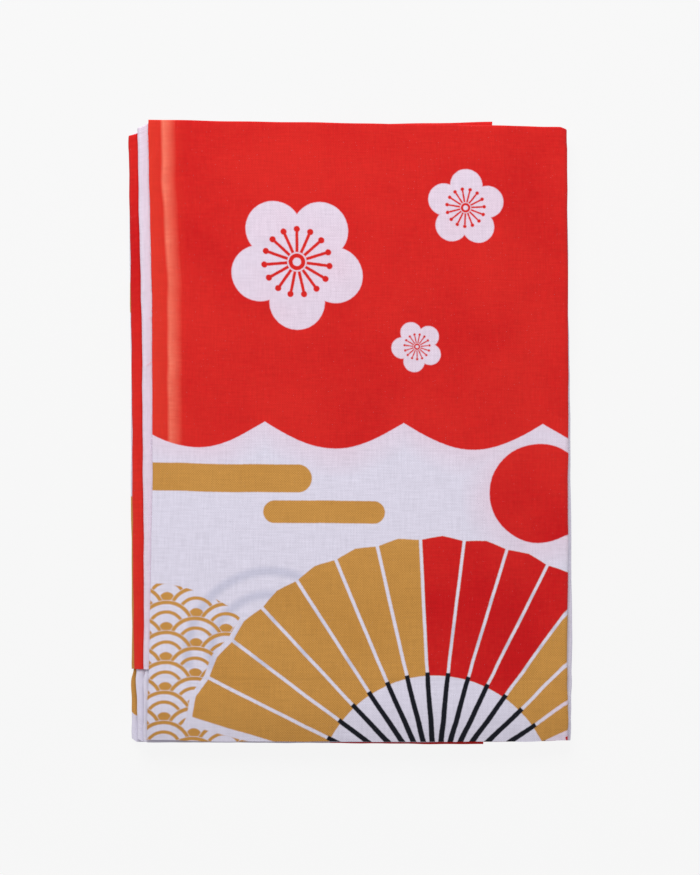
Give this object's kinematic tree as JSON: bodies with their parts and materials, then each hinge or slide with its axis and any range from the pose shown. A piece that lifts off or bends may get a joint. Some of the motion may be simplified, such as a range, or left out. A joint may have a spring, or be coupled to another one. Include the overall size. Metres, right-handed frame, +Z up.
{
  "type": "tenugui towel",
  "caption": "Thin printed cotton hand towel, doubled along its width and folded flat into a layered rectangle, with raw-cut ends.",
  "frame": {"origin": "middle of the underside of the folded towel", "axes": "+X to the right across the panels, +Y from the free selvedges up to the crease, +Z up out of the face"},
  "size_m": [0.1334, 0.1878, 0.0088],
  "materials": {
    "cotton": "printed plain-weave cotton, matt"
  },
  "bodies": {
    "root": {"towel_cloth": "cotton"}
  },
  "joints": []
}
